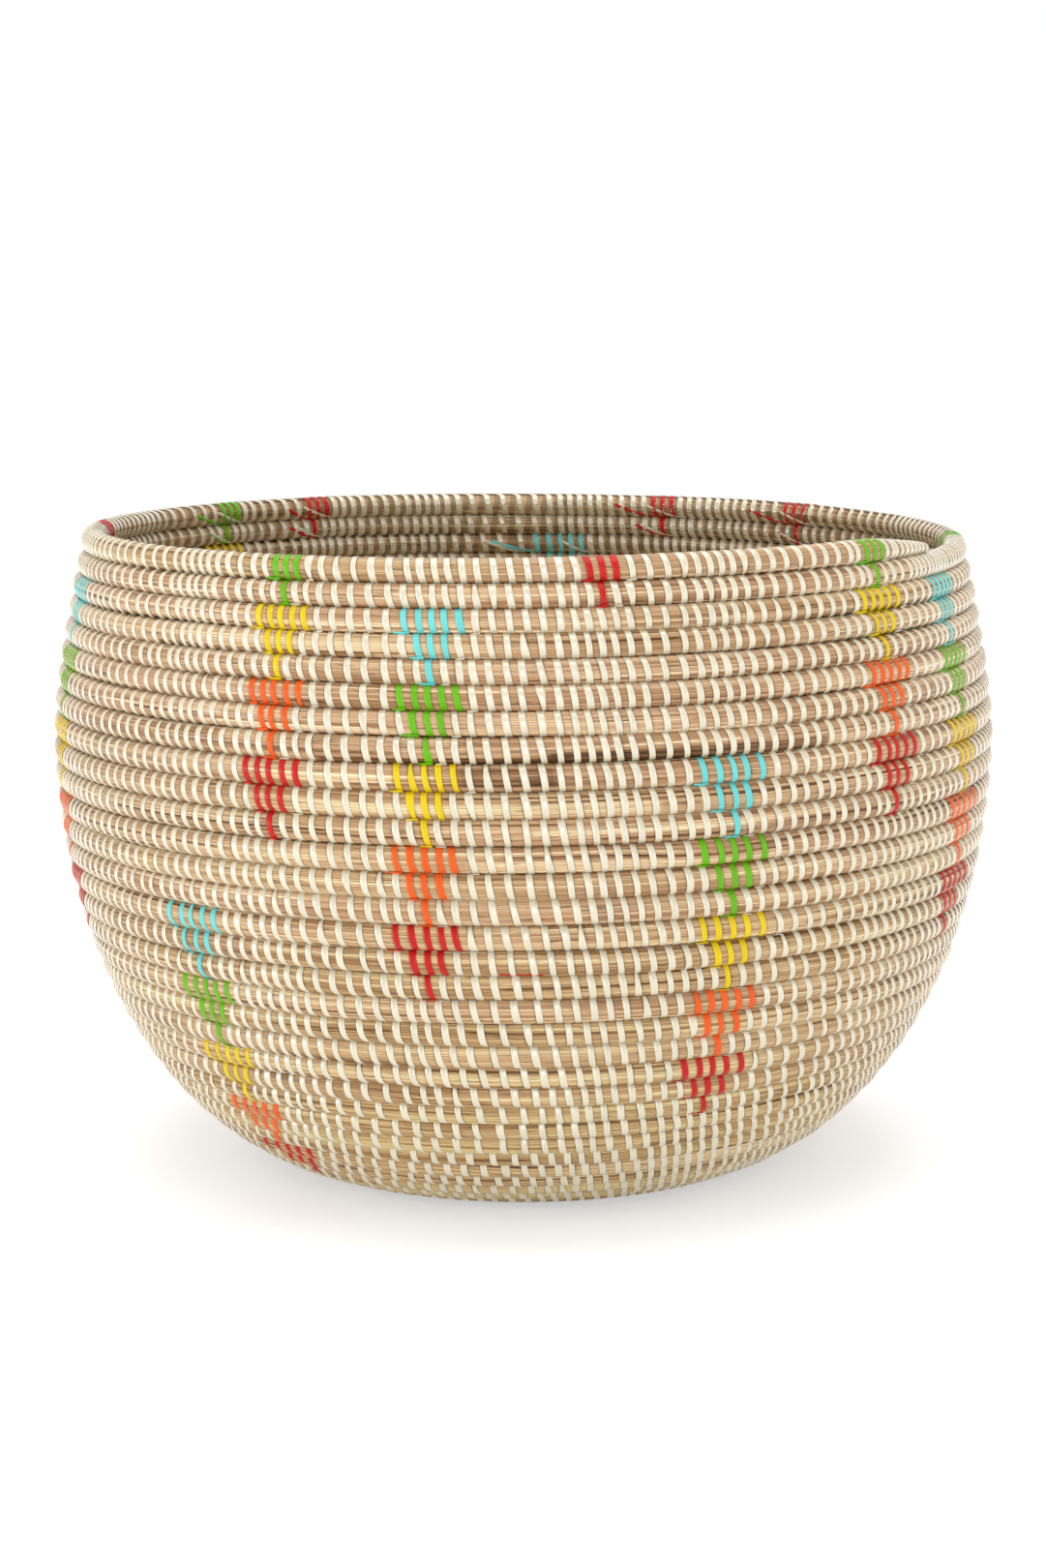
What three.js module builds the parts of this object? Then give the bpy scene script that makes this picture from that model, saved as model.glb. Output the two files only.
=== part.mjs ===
// A coiled storage basket: one spiral of grass bundle, bound with plastic strip that makes
// stepped triangles of colour. Millimetres, +Z up, the middle of the base's underside at the origin.
import * as THREE from 'three';

// Outline of the wall and base, along the middle of the grass bundle
const rimRadius = 184.8;
const rimHeight = 281.5;
const shoulderHeight = 216; // the wall starts to lean in here
const bellyRadius = 201.3;
const bellyHeight = 192.7;
const flatBaseRadius = 80.2;

// Grass bundle
const bundleDepth = 10.4; // through the wall
const turnGap = 1; // left for the binding strip
const spliceGap = 0.3; // between two stretches of the bundle
const rimEndAngle = 62; // where the bundle ends, counted from the front towards +X
const rimTailAngle = 14; // the bundle thins out over this
const rimTipShare = 0.3; // of its height left at the tip
const centreRadius = 3.6; // where the bundle starts
const centreSpacing = 5;
const stepsPerTurn = 20;
const coarseRadius = 90; // every second step is left out inside this

// Spacing of the turns along the wall, and how many turns below the rim each spacing is reached
const rimSpacing = 9.8;
const bellySpacing = 10.7;
const heelSpacing = 9.8;
const baseSpacing = 9.4;
const rimToTurns = 4.3;
const bellyFromTurns = 8.3;
const bellyToTurns = 20.1;
const heelTurns = 21.6;
const baseFromTurns = 25.6;

// Stretches of the bundle, which meet at the back: whole turns at the rim, a flat stretch inside a radius
// at the base, and even shares of the turns between them
const rimStretchTurns = 2;
const baseStretchRadius = 84;
const wallStretches = ['shoulder_coil', 'belly_coil', 'lower_wall_coil', 'heel_coil', 'foot_coil'];

// Coloured binding strip
const stripWidth = 2.9;
const stripRise = 0.35; // its ridge stands this far off its edges
const stripClearance = 0.25; // to the bundle
const stitchSpacing = 6.76;
const floatWidth = 2;
const floatClearance = 0.45; // over the stitches that it crosses
const floatLead = 3; // along the bundle, between a stitch and where its float lies free
const floatLeadRise = 1.2;
const triangleStitches = [5, 3, 1]; // in each row, from the top

// Columns of triangles: angle of the middle, turn of the top row and drift to the right with each row down
const columns = [
  { name: 'left', angle: -29.2, topRow: -3, drift: 0 },
  { name: 'mid_left', angle: -10.8, topRow: 3, drift: 0 },
  { name: 'middle', angle: 9.2, topRow: -12, drift: 0 },
  { name: 'mid_right', angle: 23.4, topRow: 9, drift: 0.13 },
  { name: 'right', angle: 47.3, topRow: -3, drift: 0 },
];
const stripColours = {
  turquoise: 0x5fcde1,
  green: 0x5abe1e,
  yellow: 0xf0d714,
  orange: 0xf56928,
  red: 0xdc2328,
};
const bundleColour = 0xdcc79c; // cream binding over tan grass, seen together
const bundleRoughness = 0.75;
const stripRoughness = 0.35;

const radians = THREE.MathUtils.degToRad;
const { clamp, lerp } = THREE.MathUtils;

// Wall outline from the rim to the middle of the base, as radius and height
function wallOutline() {
  const baseHeight = bundleDepth / 2;
  const rim = new THREE.Vector2(rimRadius, rimHeight);
  const shoulder = new THREE.Vector2(bellyRadius, shoulderHeight);
  const belly = new THREE.Vector2(bellyRadius, bellyHeight);
  const flat = new THREE.Vector2(flatBaseRadius, baseHeight);
  const middle = new THREE.Vector2(0, baseHeight);
  const heelWidth = bellyRadius - flatBaseRadius;
  const heelHeight = bellyHeight - baseHeight;
  const curves = new THREE.CurvePath();
  curves.add(new THREE.QuadraticBezierCurve(rim, shoulder, belly));
  curves.add(new THREE.EllipseCurve(flat.x, belly.y, heelWidth, heelHeight, 0, -Math.PI / 2, true));
  curves.add(new THREE.LineCurve(flat, middle));
  return curves;
}

const outline = wallOutline();
const outlineLength = outline.getLength();

// Point and downward direction on the outline at a distance below the rim's end, and straight on above it
function outlineAt(distance) {
  const share = clamp(distance / outlineLength, 0, 1);
  const down = outline.getTangent(share);
  const point = outline.getPoint(share);
  point.addScaledVector(down, distance - share * outlineLength);
  return { point, down };
}

// Spacing of the turns at a turn below the rim's end, closing in on the middle of the base
function spacingAt(turn, radiusLeft) {
  const turns = [0, rimToTurns, bellyFromTurns, bellyToTurns, heelTurns, baseFromTurns];
  const spacings = [rimSpacing, rimSpacing, bellySpacing, bellySpacing, heelSpacing, baseSpacing];
  const next = turns.findIndex((each) => each > turn);
  let spacing = turn < 0 ? rimSpacing : baseSpacing;
  if (next > 0) {
    const share = (turn - turns[next - 1]) / (turns[next] - turns[next - 1]);
    spacing = lerp(spacings[next - 1], spacings[next], share);
  }
  const firstTurnWidth = (centreSpacing + baseSpacing) / 2;
  const closing = (radiusLeft - centreRadius) / firstTurnWidth;
  return Math.min(spacing, lerp(centreSpacing, baseSpacing, closing));
}

// Steps of the spiral from just above the rim's end to the middle of the base. Each has the bundle's middle,
// the directions out of the wall and up along it, and half the bundle's height along the wall.
function spiralSteps() {
  const stepAngle = 360 / stepsPerTurn;
  const steps = [];
  let angle = Math.ceil(rimEndAngle / stepAngle) * stepAngle;
  let turn = (rimEndAngle - angle) / 360;
  let distance = turn * rimSpacing;
  while (distance < outlineLength - centreRadius) {
    const { point, down } = outlineAt(distance);
    const around = new THREE.Vector2(Math.sin(radians(angle)), -Math.cos(radians(angle)));
    const spacing = spacingAt(turn, outlineLength - distance);
    steps.push({
      turn,
      centre: new THREE.Vector3(around.x * point.x, around.y * point.x, point.y),
      out: new THREE.Vector3(-down.y * around.x, -down.y * around.y, down.x),
      up: new THREE.Vector3(-down.x * around.x, -down.x * around.y, -down.y),
      halfHeight: (spacing - turnGap) / 2,
    });
    angle -= stepAngle;
    turn += 1 / stepsPerTurn;
    distance += spacing / stepsPerTurn;
  }
  return steps.filter((step, i) => i % 2 === 0 || radiusOf(step) > coarseRadius);
}

function radiusOf(step) {
  return Math.hypot(step.centre.x, step.centre.y);
}

const steps = spiralSteps();
const lastTurn = steps.at(-1).turn;

// Place on the bundle at any turn, on the straight run between two steps. The tail thins from its top.
function placeAt(turn) {
  const next = Math.max(1, steps.findIndex((step) => step.turn >= turn));
  const before = steps[next - 1];
  const after = steps[next];
  const share = (turn - before.turn) / (after.turn - before.turn);
  const tail = lerp(rimTipShare, 1, Math.min(1, (turn * 360) / rimTailAngle));
  const fullHeight = lerp(before.halfHeight, after.halfHeight, share);
  const up = before.up.clone().lerp(after.up, share);
  const centre = before.centre.clone().lerp(after.centre, share);
  centre.addScaledVector(up, -fullHeight * (1 - tail));
  return { turn, centre, up, out: before.out.clone().lerp(after.out, share), halfHeight: fullHeight * tail };
}

function turnLength(turn) {
  return 2 * Math.PI * radiusOf(placeAt(turn));
}

// Six corners of the bundle's section, from the top round the outside, set off square to its faces
const sectionCorners = ['top', 'outerTop', 'outerBottom', 'bottom', 'innerBottom', 'innerTop'];

function sectionCorner(place, corner, offset) {
  const depth = bundleDepth / 2;
  const slope = Math.hypot(depth, place.halfHeight / 2) / depth;
  const side = depth + offset;
  const top = place.halfHeight + offset * slope;
  const shoulder = top - (place.halfHeight / 2) * (side / depth);
  const corners = {
    top: [0, top],
    outerTop: [side, shoulder],
    outerBottom: [side, -shoulder],
    bottom: [0, -top],
    innerBottom: [-side, -shoulder],
    innerTop: [-side, shoulder],
  };
  const [out, up] = corners[corner];
  return place.centre.clone().addScaledVector(place.out, out).addScaledVector(place.up, up);
}

// Closed tube through rings of points, with flat ends
function tube(rings) {
  const sides = rings[0].points.length;
  const index = [];
  for (let ring = 0; ring < rings.length - 1; ring += 1) {
    for (let side = 0; side < sides; side += 1) {
      const a = ring * sides + side;
      const b = ring * sides + ((side + 1) % sides);
      index.push(a, b, b + sides, a, b + sides, a + sides);
    }
  }
  const last = (rings.length - 1) * sides;
  for (let side = 1; side < sides - 1; side += 1) {
    index.push(0, side + 1, side);
    index.push(last, last + side, last + side + 1);
  }
  const positions = rings.flatMap((ring) => ring.points.flatMap((point) => point.toArray()));
  const geometry = new THREE.BufferGeometry();
  geometry.setAttribute('position', new THREE.Float32BufferAttribute(positions, 3));
  geometry.setIndex(index);
  const faceted = geometry.toNonIndexed();
  faceted.computeVertexNormals();
  return faceted;
}

// Least distance from each loop of a wound tube to the loops next to it, measured on points
function leastGap(rings) {
  const samplesPerRing = 3;
  const nextLoopFrom = 0.6;
  const nextLoopTo = 1.6;
  const samples = [];
  for (let i = 0; i < rings.length - 1; i += 1) {
    const next = rings[i + 1];
    for (let part = 0; part < samplesPerRing; part += 1) {
      const share = part / samplesPerRing;
      const points = rings[i].points.map((point, side) => point.clone().lerp(next.points[side], share));
      samples.push({ loop: lerp(rings[i].loop, next.loop, share), points });
    }
  }
  let least = Infinity;
  samples.forEach((one, i) => {
    for (const other of samples.slice(i + 1)) {
      const loops = Math.abs(other.loop - one.loop);
      if (loops > nextLoopFrom && loops < nextLoopTo) {
        const gaps = one.points.flatMap((p) => other.points.map((q) => p.distanceTo(q)));
        least = Math.min(least, ...gaps);
      }
    }
  });
  return least;
}

function woundPiece(name, rings, colour, roughness) {
  const material = new THREE.MeshStandardMaterial({ color: colour, roughness, metalness: 0 });
  const mesh = new THREE.Mesh(tube(rings), material);
  mesh.name = name;
  console.log(name, 'least gap between loops', leastGap(rings).toFixed(2), 'mm');
  return mesh;
}

function bundleStretch(name, fromTurn, toTurn) {
  const stepTurns = steps.map((step) => step.turn).filter((turn) => turn > fromTurn && turn < toTurn);
  const tailTurns = [rimTailAngle / 360].filter((turn) => turn > fromTurn && turn < toTurn);
  const turns = [fromTurn, ...stepTurns, ...tailTurns, toTurn].sort((a, b) => a - b);
  const rings = turns.map((turn) => {
    const place = placeAt(turn);
    const points = sectionCorners.map((corner) => sectionCorner(place, corner, 0)).reverse();
    return { loop: turn, points };
  });
  return woundPiece(name, rings, bundleColour, bundleRoughness);
}

// The whole bundle, as stretches that are spliced at the back
function bundleStretches() {
  const atBack = (turn) => (rimEndAngle + 180) / 360 + turn;
  let baseTurn = rimStretchTurns;
  while (radiusOf(placeAt(atBack(baseTurn))) > baseStretchRadius) {
    baseTurn += 1;
  }
  const wallTurns = baseTurn - rimStretchTurns;
  const ends = wallStretches.map((name, i) => {
    const turns = Math.round((wallTurns * (i + 1)) / wallStretches.length);
    return { name, toTurn: atBack(rimStretchTurns + turns) };
  });
  ends.unshift({ name: 'rim_coil', toTurn: atBack(rimStretchTurns) });
  ends.push({ name: 'base_coil', toTurn: lastTurn });
  let fromTurn = 0;
  return ends.map(({ name, toTurn }) => {
    const stretch = bundleStretch(name, fromTurn, toTurn);
    fromTurn = toTurn + spliceGap / turnLength(toTurn);
    return stretch;
  });
}

// Place on the bundle in a row, at an angle and then a distance further along
function placeInRow(row, angle, along) {
  const turn = row - 1 + (rimEndAngle - angle) / 360;
  return placeAt(turn - along / turnLength(turn));
}

// Section of the strip where it passes a corner of the bundle
function stitchRing(row, angle, along, corner, loop) {
  const edge = stripWidth / 2;
  const points = [
    sectionCorner(placeInRow(row, angle, along - edge), corner, stripClearance),
    sectionCorner(placeInRow(row, angle, along + edge), corner, stripClearance),
    sectionCorner(placeInRow(row, angle, along), corner, stripClearance + stripRise),
  ];
  return { loop, points };
}

// Section of a float on the inside of the wall, at a height from the inner top corner of the bundle
function floatRing(row, angle, along, height, loop) {
  const place = placeInRow(row, angle, along);
  const lift = stripClearance + stripRise + floatClearance;
  const middle = sectionCorner(place, 'innerTop', 0);
  middle.addScaledVector(place.out, -lift);
  middle.addScaledVector(place.up, height);
  const edge = place.up.clone().multiplyScalar(floatWidth / 2);
  const points = [
    middle.clone().sub(edge),
    middle.clone().add(edge),
    middle.clone().addScaledVector(place.out, -stripRise),
  ];
  return { loop, points };
}

// One unbroken strip: the single stitch at the bottom, then each row above. From the end of a row a float
// runs up the inside of the wall to the start of the next. Rows above the rim are left out.
function triangleRings(column, topRow) {
  const lean = stitchSpacing / 2; // so that a stitch dips between two of the turn below
  const inside = stitchSpacing - lean;
  const outsidePasses = [0, 1 / 3, 2 / 3, 1].map((share) => lean * (share - 1 / 2));
  const insidePasses = [1 / 4, 3 / 4].map((share) => lean / 2 + inside * share);
  const passes = [...outsidePasses, ...insidePasses]; // how far along the strip is at each corner
  const loopStep = 1 / passes.length;
  const rings = [];
  let loop = 0;
  for (let level = triangleStitches.length - 1; level >= 0 && topRow + level > 0; level -= 1) {
    const row = topRow + level;
    const angle = column.angle + column.drift * (row - column.topRow);
    const first = (-(triangleStitches[level] - 1) / 2) * stitchSpacing;
    const start = first + passes.at(-1) - stitchSpacing;
    if (rings.length > 0) {
      loop += loopStep;
      rings.push(floatRing(row, angle, start + floatLead, -floatLeadRise, loop));
      loop += loopStep;
    }
    rings.push(stitchRing(row, angle, start, 'innerTop', loop));
    for (let stitch = 0; stitch < triangleStitches[level]; stitch += 1) {
      passes.forEach((pass, place) => {
        loop += loopStep;
        const along = first + stitch * stitchSpacing + pass;
        rings.push(stitchRing(row, angle, along, sectionCorners[place], loop));
      });
    }
    if (level > 0 && row > 1) {
      const end = start + triangleStitches[level] * stitchSpacing;
      loop += loopStep;
      rings.push(floatRing(row, angle, end - floatLead, floatLeadRise, loop));
    }
  }
  return rings;
}

function triangleStrips() {
  const strips = [];
  for (const column of columns) {
    Object.entries(stripColours).forEach(([name, colour], place) => {
      const rings = triangleRings(column, column.topRow + place * triangleStitches.length);
      if (rings.length > 0) {
        strips.push(woundPiece(`${column.name}_${name}_strip`, rings, colour, stripRoughness));
      }
    });
  }
  return strips;
}

const basket = new THREE.Group();
basket.add(...bundleStretches(), ...triangleStrips());

export default basket;
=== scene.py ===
# A storage basket: one long bundle of grass, coiled and bound with plastic strip, with stepped
# triangles where the strip changes colour. Metres, +Z up, and the front faces -Y.
import math

import bpy
import numpy as np
from mathutils import Matrix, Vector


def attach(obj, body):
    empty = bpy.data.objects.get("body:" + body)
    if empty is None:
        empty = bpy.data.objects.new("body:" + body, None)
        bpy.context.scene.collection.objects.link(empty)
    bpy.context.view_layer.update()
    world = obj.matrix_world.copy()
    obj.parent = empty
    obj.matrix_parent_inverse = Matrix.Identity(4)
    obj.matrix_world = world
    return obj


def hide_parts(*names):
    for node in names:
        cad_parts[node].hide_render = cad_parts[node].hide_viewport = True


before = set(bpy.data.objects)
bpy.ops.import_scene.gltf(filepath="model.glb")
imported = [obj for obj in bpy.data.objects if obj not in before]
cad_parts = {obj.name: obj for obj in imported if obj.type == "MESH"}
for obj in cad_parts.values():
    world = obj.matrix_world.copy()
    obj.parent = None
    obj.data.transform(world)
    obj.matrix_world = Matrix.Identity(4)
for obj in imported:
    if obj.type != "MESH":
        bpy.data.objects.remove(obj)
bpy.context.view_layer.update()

# The wall's outline, along the middle of the coil
wall = {
    "rimRadius": 0.1866,
    "rimHeight": 0.2815,
    "shoulderHeight": 0.216,
    "bellyRadius": 0.2013,
    "bellyHeight": 0.1927,
    "flatBaseRadius": 0.0802,
    "baseHeight": 0.0052,
}

# The coil, counted in turns down from its end at the rim. Angles are in degrees from the front towards +X.
coil = {
    "endAngle": 62,
    "tailAngle": 14,  # the bundle thins out over this
    "tailCurve": 0.8,
    "tipShare": 0.42,
    "tipDepth": 0.4,  # it thins less from front to back
    "spacingTurns": [0, 4.3, 8.3, 20.1, 21.6, 25.6],
    "spacings": [0.0098, 0.0098, 0.0107, 0.0107, 0.0098, 0.0094],
    "centreRadius": 0.0036,
    "centreSpacing": 0.005,
    "stepsPerTurn": 360,
    "halfDepth": 0.00485,
    "heightShare": 0.521,  # half a turn's height as a share of the spacing, so that turns press together
    "unevenDepth": 0.00012,
    "unevenHeight": 0.0001,
    "unevenPlace": 0.00014,
    "unevenLength": 0.07,
    "levelRadius": [0.09, 0.12],  # the turns of the flat base stay level
}


def srgb(red, green, blue, alpha=1):
    channels = [value / 255 for value in (red, green, blue)]
    linear = [value / 12.92 if value < 0.04045 else ((value + 0.055) / 1.055) ** 2.4 for value in channels]
    return (*linear, alpha)


def ease(share):
    share = np.clip(share, 0, 1)
    return share * share * (3 - 2 * share)


# A smooth random wander along the coil, with a new value at every step
def wander(along, step, spread, random):
    place = along / step
    whole = np.floor(place).astype(int)
    values = random.normal(0, spread, whole.max() - whole.min() + 2)
    share = ease(place - whole)
    first = whole - whole.min()
    return values[first] * (1 - share) + values[first + 1] * share


def wallOutline(points=3000):
    share = np.linspace(0, 1, points)[:, None]
    rim = np.array([wall["rimRadius"], wall["rimHeight"]])
    shoulder = np.array([wall["bellyRadius"], wall["shoulderHeight"]])
    belly = np.array([wall["bellyRadius"], wall["bellyHeight"]])
    upper = (1 - share) ** 2 * rim + 2 * share * (1 - share) * shoulder + share ** 2 * belly
    sweep = share[1:] * math.pi / 2
    heelWidth = wall["bellyRadius"] - wall["flatBaseRadius"]
    heelHeight = wall["bellyHeight"] - wall["baseHeight"]
    heelRadius = wall["flatBaseRadius"] + heelWidth * np.cos(sweep)
    lower = np.hstack([heelRadius, wall["bellyHeight"] - heelHeight * np.sin(sweep)])
    flat = np.array([[wall["flatBaseRadius"] / 2, wall["baseHeight"]], [0, wall["baseHeight"]]])
    line = np.vstack([upper, lower, flat])
    steps = np.diff(line, axis=0)
    lengths = np.hypot(steps[:, 0], steps[:, 1])
    down = np.vstack([steps / lengths[:, None], [[-1, 0]]])
    distance = np.concatenate([[0], np.cumsum(lengths)])
    return distance, line, down


outlineDistance, outlineLine, outlineDown = wallOutline()
outlineLength = outlineDistance[-1]


# How far down the outline the coil has come at each turn, and the spacing of the turns there
def windCoil():
    stepsPerTurn = coil["stepsPerTurn"]
    baseSpacing = coil["spacings"][-1]
    closingWidth = (coil["centreSpacing"] + baseSpacing) / 2
    rows = []
    turn, distance = 0.0, 0.0
    while distance < outlineLength - coil["centreRadius"]:
        inner = outlineLength - distance - coil["centreRadius"]
        closing = coil["centreSpacing"] + (baseSpacing - coil["centreSpacing"]) * inner / closingWidth
        spacing = min(np.interp(turn, coil["spacingTurns"], coil["spacings"]), closing)
        radius = np.interp(distance, outlineDistance, outlineLine[:, 0])
        rows.append((turn, distance, spacing, radius))
        turn += 1 / stepsPerTurn
        distance += spacing / stepsPerTurn
    return np.array(rows).T


coilTurn, coilDistance, coilSpacing, coilRadius = windCoil()
lastTurn = coilTurn[-1]
coilRun = np.concatenate([[0], np.cumsum(2 * math.pi * coilRadius[:-1] * np.diff(coilTurn))])
unevenRandom = np.random.default_rng(11)
coilDepthExtra = wander(coilRun, coil["unevenLength"], coil["unevenDepth"], unevenRandom)
coilHeightExtra = wander(coilRun, coil["unevenLength"], coil["unevenHeight"], unevenRandom)
coilLift = wander(coilRun, coil["unevenLength"], coil["unevenPlace"], unevenRandom)
print("coil:", round(lastTurn, 1), "turns,", round(coilRun[-1], 1), "m of grass bundle")


def angleAt(turn):
    return coil["endAngle"] - 360 * turn


def turnAt(row, angle):
    return row - 1 + (coil["endAngle"] - angle) / 360


# Everything about the coil at these turns: its middle, its directions and half sizes
def coilAt(turns):
    distance = np.interp(turns, coilTurn, coilDistance)
    radius = np.interp(distance, outlineDistance, outlineLine[:, 0])
    height = np.interp(distance, outlineDistance, outlineLine[:, 1])
    downOut = np.interp(distance, outlineDistance, outlineDown[:, 0])
    downUp = np.interp(distance, outlineDistance, outlineDown[:, 1])
    angle = np.radians(angleAt(turns))
    side, front = np.sin(angle), -np.cos(angle)
    zero = np.zeros_like(angle)
    thinned = np.clip(turns * 360 / coil["tailAngle"], 0, 1) ** coil["tailCurve"]
    tail = coil["tipShare"] + (1 - coil["tipShare"]) * thinned
    fullHeight = coil["heightShare"] * np.interp(turns, coilTurn, coilSpacing)
    halfHeight = fullHeight * tail + np.interp(turns, coilTurn, coilHeightExtra)
    fullDepth = coil["halfDepth"] * (coil["tipDepth"] + (1 - coil["tipDepth"]) * tail)
    halfDepth = fullDepth + np.interp(turns, coilTurn, coilDepthExtra)
    up = np.stack([-downOut * side, -downOut * front, -downUp], -1)
    out = np.stack([-downUp * side, -downUp * front, downOut], -1)
    middle = np.stack([radius * side, radius * front, height], -1)
    onWall = np.interp(radius, coil["levelRadius"], [0, 1])
    lift = np.interp(turns, coilTurn, coilLift) * onWall - fullHeight * (1 - tail)
    middle = middle + up * lift[..., None]
    ahead = np.stack([-front, side, zero], -1)
    return {
        "middle": middle,
        "out": out,
        "up": up,
        "ahead": ahead,
        "halfHeight": halfHeight,
        "halfDepth": halfDepth,
        "radius": radius,
    }


# Points on the coil's surface: at these turns, at these angles round the bundle, and this far off it
def onSurface(turns, around, rise):
    place = coilAt(turns)
    outward = (place["halfDepth"] + rise) * np.cos(around)
    upward = (place["halfHeight"] + rise) * np.sin(around)
    return place["middle"] + place["out"] * outward[..., None] + place["up"] * upward[..., None]


# Columns of triangles: angle of the middle, top row and drift with each row down. Angles past the coil's
# end at the rim are counted backwards.
columns = {
    "left": (-29.1, -3, 0),
    "mid_left": (-10.4, 3, -0.045),
    "middle": (9.2, -12, 0),
    "mid_right": (23.6, 9, 0.115),
    "right": (48, -3, -0.05),
    "far_right": (63.2, 3, 0.14),
    "far_left": (-74.1, 3, -0.1),
    "low_left": (-42.2, 15, -0.12),
    "side_right": (88, -2, 0),
    "side_left": (-95, -12, 0),
    "low_side_left": (-112, 9, 0),
    "back_left": (-132, -3, 0),
    "back_left_inner": (-148.2, -12, 0),
    "low_back_left": (-165, 15, 0),
    "back": (-186.6, 3, 0),
    "back_right_inner": (-202.6, -12, 0),
    "low_back_right": (-213, 9, 0),
    "back_right": (-225.6, -12, 0),
    "low_side_right": (-249, 15, 0),
}
columns = {name: dict(zip(("angle", "topRow", "drift"), place)) for name, place in columns.items()}
colourNames = ["turquoise", "green", "yellow", "orange", "red"]
triangleStitches = [5, 3, 1]
columnRows = len(colourNames) * len(triangleStitches)

# How the binding strip is spaced along the coil
binding = {
    "spacingTurns": [0, 2, 9, 12, 17, 20, 23, 25, 28, 33, 39],
    "spacings": [0.0059, 0.0060, 0.00645, 0.0065, 0.0068, 0.0070, 0.0070, 0.0068, 0.0062, 0.0063, 0.0062],
    "rimCount": 197,  # stitches in each turn near the rim
    "steadyRows": 12,  # rows with that count, less the columns that were dropped
    "spread": 0.005,  # how much the columns fan out with each row below those
    "dropRows": 30,  # columns are dropped down to this row
    "dropStep": 0.382,  # share of a turn from one dropped column to the next
    "dropClear": 6,  # degrees that it keeps from a column of triangles
    "dropNudge": 0.011,
    "dropWidth": [44, 8, 150],  # degrees over which the gap closes: at first, more with each row, at most
    "columnEase": 9,  # degrees over which the stitches beside a triangle shift with it
    "tight": 0.25,  # stitches crowd a little at the triangles
    "tightAngle": 4.5,
    "tightRows": [[3, 9, 12, 18], [1.6, 1, 0.7, 0.6]],
    "waves": [(3, 0.06, 0.22), (7, -0.04, 0.16), (11, 0.05, 0.10), (17, -0.03, 0.07)],
    "jitter": 0.022,
    "oddShare": 0.04,  # some stitches stand further out of line
    "oddJitter": 3,
    "lean": 0.17,
    "leanSpread": 0.16,
    "widthSpread": 0.06,
    "widthLimits": [0.8, 1.15],
    "taperSpread": 0.05,
    "pinchedShare": 0.05,  # and some are pinched at one end
    "pinch": 0.5,
    "bow": 0.00022,
    "tailCount": 10,  # close stitches over the bundle's end
    "tailAngles": [0.5, 11.3],
    "tailJitter": 0.0005,
    "tailGap": 0.6,  # share of their spacing, before the others go on
    "underTail": [0.945, 1.02],  # turns on which the bundle under that end has closer stitches too
    "underTailExtra": 6,
}


def columnAngle(column, row):
    return column["angle"] + column["drift"] * (row - column["topRow"])


# The stitch count along the coil. Stitches of one row stand under those of the row above. Where a row
# has fewer, a column is dropped and its neighbours close in over the rows below.
def countStitches():
    turn = coilTurn
    wanted = 2 * math.pi * coilRadius / np.interp(turn, binding["spacingTurns"], binding["spacings"])
    smooth = binding["rimCount"] * (1 - binding["spread"] * np.clip(turn - binding["steadyRows"], 0, None))
    dropped = np.maximum.accumulate(np.clip(np.round(smooth - wanted), 0, None))
    lastDrop = dropped[np.searchsorted(turn, binding["dropRows"])]
    smooth = np.where(turn > binding["dropRows"], wanted + lastDrop, smooth)
    angles = np.array([column["angle"] for column in columns.values()])
    gap = (angleAt(turn)[:, None] - angles + 180) % 360 - 180
    crowding = binding["tight"] * np.exp(-(gap / binding["tightAngle"]) ** 2).sum(1)
    crowding -= crowding[: coil["stepsPerTurn"]].mean()
    crowding = 1 + crowding * np.interp(turn, *binding["tightRows"])
    count = np.concatenate([[0], np.cumsum((smooth * crowding)[:-1] * np.diff(turn))])
    count += np.interp(turn, binding["underTail"], [0, binding["underTailExtra"]])
    for waves, turning, size in binding["waves"]:
        count += size * np.sin(2 * math.pi * turn * (waves + turning))
    tops = np.array([column["topRow"] for column in columns.values()])
    firstWidth, widthGrowth, mostWidth = binding["dropWidth"]
    for drop in range(1, int(lastDrop) + 1):
        at = turn[np.searchsorted(dropped, drop)] - 0.5 + (drop * binding["dropStep"]) % 1
        clear = False
        while not clear:
            at += binding["dropNudge"]
            beside = (tops < at + 2) & (at < tops + columnRows)
            clear = np.all(np.abs((angleAt(at) - angles[beside] + 180) % 360 - 180) > binding["dropClear"])
        for rowsBelow in range(1, int(lastTurn - at) + 1):
            width = min(firstWidth + widthGrowth * rowsBelow, mostWidth) / 360
            count -= ease((turn - at - rowsBelow) / width + 0.5)
    # A stitch comes to stand in the middle of each row of triangles. It takes a few passes, because each
    # column shifts the stitches of its neighbours too.
    for _ in range(3):
        for column in columns.values():
            rows = np.arange(max(column["topRow"], 1), column["topRow"] + columnRows)
            middles = turnAt(rows, columnAngle(column, rows))
            middles = middles[middles >= 0]
            here = np.interp(middles, turn, count)
            gap = (angleAt(turn) - column["angle"] + 180) % 360 - 180
            nearby = np.exp(-(gap / binding["columnEase"]) ** 2)
            count += np.interp(turn, middles, np.round(here) - here) * nearby
    return count


stitchCount = countStitches()


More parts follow.
